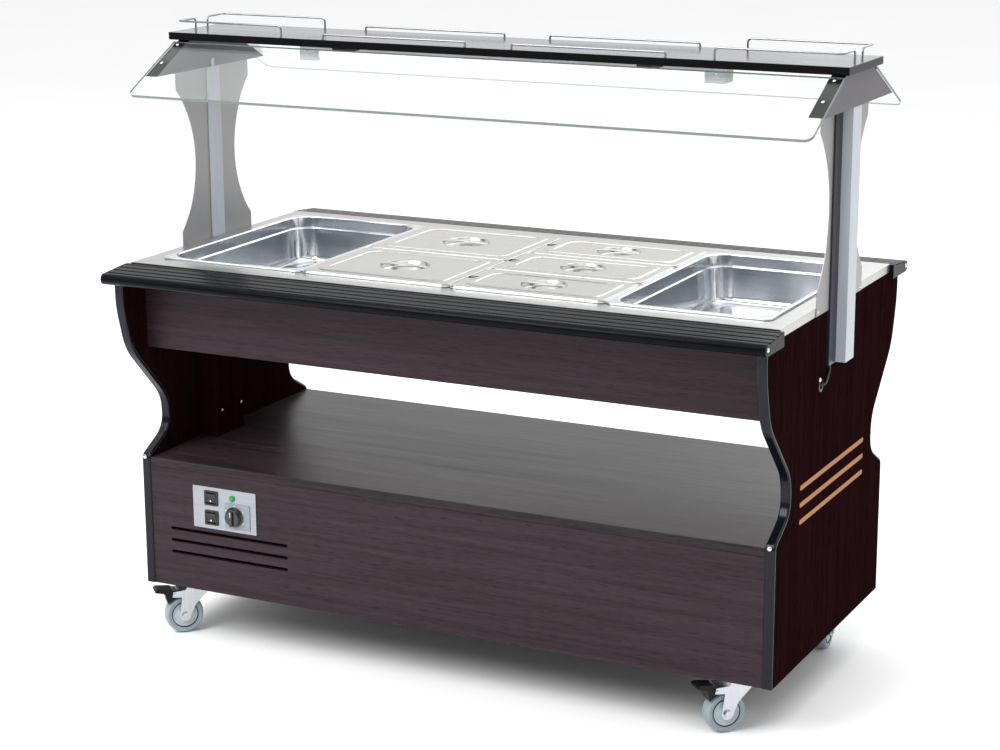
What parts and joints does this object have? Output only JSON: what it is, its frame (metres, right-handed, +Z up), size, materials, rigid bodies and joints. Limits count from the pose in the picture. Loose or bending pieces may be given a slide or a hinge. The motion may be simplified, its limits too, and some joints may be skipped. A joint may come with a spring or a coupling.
{
  "type": "steam table unit",
  "caption": "Heated buffet cart with lidded food pans in a water well, storage deck, tray ledges, sneeze glass under a lit top shelf, and swivel casters.",
  "frame": {"origin": "on the floor, under the middle of the cart's box", "axes": "+X along the cart, the guests' front with the controls faces -Y, +Z up"},
  "size_m": [1.455, 0.824, 1.2508],
  "materials": {
    "board": "dark mahogany laminate, satin",
    "inner_board": "grey laminate, satin",
    "edge": "black T-moulding",
    "stainless": "satin stainless sheet",
    "galvanised": "galvanised sheet",
    "ledge": "glossy black, ribbed",
    "aluminium": "anodised",
    "wing": "dark grey powder coat",
    "bracket": "folded sheet, satin",
    "glass": "clear, polished edges",
    "shelf": "glossy grey laminate, black edge",
    "chrome": "polished",
    "lamp": "white",
    "diffuser": "opal",
    "black_plastic": "black",
    "grey_plastic": "grey and black bezels",
    "pilot": "translucent green",
    "zinc": "zinc plated",
    "tyre": "grey thermoplastic rubber on a plastic hub",
    "brass": "plain",
    "element": "heating tube",
    "copper_cable": "black cable sheath"
  },
  "bodies": {
    "cart": {"aprons": "board", "cable_cover": "black_plastic", "cable_duct": "board", "caster_blocks": "inner_board", "caster_plates": "zinc", "control_bodies": "grey_plastic", "control_plate": "aluminium", "corner_rails": "chrome", "deck_board": "inner_board", "drain_outlet": "brass", "edge_mouldings": "edge", "frame_screws": "zinc", "front_glass": "glass", "front_lower_panel": "board", "glass_clips": "black_plastic", "heat_shield": "galvanised", "heating_element": "element", "lamp_diffuser": "diffuser", "lamp_housing": "lamp", "left_end_panel": "board", "light_cable": "copper_cable", "mains_inlet": "black_plastic", "pan_bars": "stainless", "pilot_lamp": "pilot", "posts": "aluminium", "rear_glass": "glass", "rear_lower_panel": "board", "right_end_panel": "board", "shelf_board": "shelf", "shelf_brackets": "bracket", "side_wings": "wing", "straight_rails": "chrome", "tray_ledges": "ledge", "well_tank": "galvanised", "worktop": "stainless"},
    "left_pan": {"left_pan": "stainless"},
    "right_pan": {"right_pan": "stainless"},
    "front_half_pan": {"front_half_pan": "stainless"},
    "rear_half_pan": {"rear_half_pan": "stainless"},
    "front_third_pan": {"front_third_pan": "stainless"},
    "middle_third_pan": {"middle_third_pan": "stainless"},
    "rear_third_pan": {"rear_third_pan": "stainless"},
    "front_half_lid": {"front_half_lid": "stainless"},
    "rear_half_lid": {"rear_half_lid": "stainless"},
    "front_third_lid": {"front_third_lid": "stainless"},
    "middle_third_lid": {"middle_third_lid": "stainless"},
    "rear_third_lid": {"rear_third_lid": "stainless"},
    "front_left_fork": {"front_left_fork": "zinc"},
    "front_left_wheel": {"front_left_wheel": "tyre"},
    "front_left_pedal": {"front_left_pedal": "black_plastic"},
    "front_right_fork": {"front_right_fork": "zinc"},
    "front_right_wheel": {"front_right_wheel": "tyre"},
    "front_right_pedal": {"front_right_pedal": "black_plastic"},
    "rear_left_fork": {"rear_left_fork": "zinc"},
    "rear_left_wheel": {"rear_left_wheel": "tyre"},
    "rear_right_fork": {"rear_right_fork": "zinc"},
    "rear_right_wheel": {"rear_right_wheel": "tyre"},
    "heat_rocker": {"heat_rocker": "black_plastic"},
    "light_rocker": {"light_rocker": "black_plastic"},
    "thermostat_knob": {"thermostat_knob": "black_plastic"}
  },
  "joints": [
    {"name": "left_pan_lift", "type": "slide", "parent": "cart", "child": "left_pan", "axis": [0, 0, 1], "range_m": [0, 0.18]},
    {"name": "right_pan_lift", "type": "slide", "parent": "cart", "child": "right_pan", "axis": [0, 0, 1], "range_m": [0, 0.18]},
    {"name": "front_half_pan_lift", "type": "slide", "parent": "cart", "child": "front_half_pan", "axis": [0, 0, 1], "range_m": [0, 0.18]},
    {"name": "rear_half_pan_lift", "type": "slide", "parent": "cart", "child": "rear_half_pan", "axis": [0, 0, 1], "range_m": [0, 0.18]},
    {"name": "front_third_pan_lift", "type": "slide", "parent": "cart", "child": "front_third_pan", "axis": [0, 0, 1], "range_m": [0, 0.18]},
    {"name": "middle_third_pan_lift", "type": "slide", "parent": "cart", "child": "middle_third_pan", "axis": [0, 0, 1], "range_m": [0, 0.18]},
    {"name": "rear_third_pan_lift", "type": "slide", "parent": "cart", "child": "rear_third_pan", "axis": [0, 0, 1], "range_m": [0, 0.18]},
    {"name": "front_half_lid_lift", "type": "slide", "parent": "front_half_pan", "child": "front_half_lid", "axis": [0, 0, 1], "range_m": [0, 0.08]},
    {"name": "rear_half_lid_lift", "type": "slide", "parent": "rear_half_pan", "child": "rear_half_lid", "axis": [0, 0, 1], "range_m": [0, 0.08]},
    {"name": "front_third_lid_lift", "type": "slide", "parent": "front_third_pan", "child": "front_third_lid", "axis": [0, 0, 1], "range_m": [0, 0.08]},
    {"name": "middle_third_lid_lift", "type": "slide", "parent": "middle_third_pan", "child": "middle_third_lid", "axis": [0, 0, 1], "range_m": [0, 0.08]},
    {"name": "rear_third_lid_lift", "type": "slide", "parent": "rear_third_pan", "child": "rear_third_lid", "axis": [0, 0, 1], "range_m": [0, 0.08]},
    {"name": "front_left_swivel", "type": "hinge", "parent": "cart", "child": "front_left_fork", "pos_m": [-0.603, -0.25, 0.1], "axis": [0, 0, 1], "continuous": true},
    {"name": "front_left_roll", "type": "hinge", "parent": "front_left_fork", "child": "front_left_wheel", "pos_m": [-0.62563, -0.27263, 0.04], "axis": [-0.7071, 0.7071, 0], "continuous": true},
    {"name": "front_left_brake", "type": "hinge", "parent": "front_left_fork", "child": "front_left_pedal", "pos_m": [-0.64048, -0.28748, 0.087], "axis": [0.7071, -0.7071, 0], "range_deg": [0, 8]},
    {"name": "front_right_swivel", "type": "hinge", "parent": "cart", "child": "front_right_fork", "pos_m": [0.603, -0.25, 0.1], "axis": [0, 0, 1], "continuous": true},
    {"name": "front_right_roll", "type": "hinge", "parent": "front_right_fork", "child": "front_right_wheel", "pos_m": [0.58037, -0.27263, 0.04], "axis": [-0.7071, 0.7071, 0], "continuous": true},
    {"name": "front_right_brake", "type": "hinge", "parent": "front_right_fork", "child": "front_right_pedal", "pos_m": [0.56552, -0.28748, 0.087], "axis": [0.7071, -0.7071, 0], "range_deg": [0, 8]},
    {"name": "rear_left_swivel", "type": "hinge", "parent": "cart", "child": "rear_left_fork", "pos_m": [-0.603, 0.25, 0.1], "axis": [0, 0, 1], "continuous": true},
    {"name": "rear_left_roll", "type": "hinge", "parent": "rear_left_fork", "child": "rear_left_wheel", "pos_m": [-0.62135, 0.22379, 0.04], "axis": [-0.8192, 0.5736, 0], "continuous": true},
    {"name": "rear_right_swivel", "type": "hinge", "parent": "cart", "child": "rear_right_fork", "pos_m": [0.603, 0.25, 0.1], "axis": [0, 0, 1], "continuous": true},
    {"name": "rear_right_roll", "type": "hinge", "parent": "rear_right_fork", "child": "rear_right_wheel", "pos_m": [0.60579, 0.21812, 0.04], "axis": [-0.9962, -0.0872, 0], "continuous": true},
    {"name": "heat_rocker_tilt", "type": "hinge", "parent": "cart", "child": "heat_rocker", "pos_m": [-0.5215, -0.3055, 0.3145], "axis": [-1, 0, 0], "range_deg": [0, 14]},
    {"name": "light_rocker_tilt", "type": "hinge", "parent": "cart", "child": "light_rocker", "pos_m": [-0.5215, -0.3055, 0.273], "axis": [-1, 0, 0], "range_deg": [0, 14]},
    {"name": "thermostat_turn", "type": "hinge", "parent": "cart", "child": "thermostat_knob", "pos_m": [-0.4655, -0.31, 0.2825], "axis": [0, 1, 0], "range_deg": [0, 270]}
  ]
}
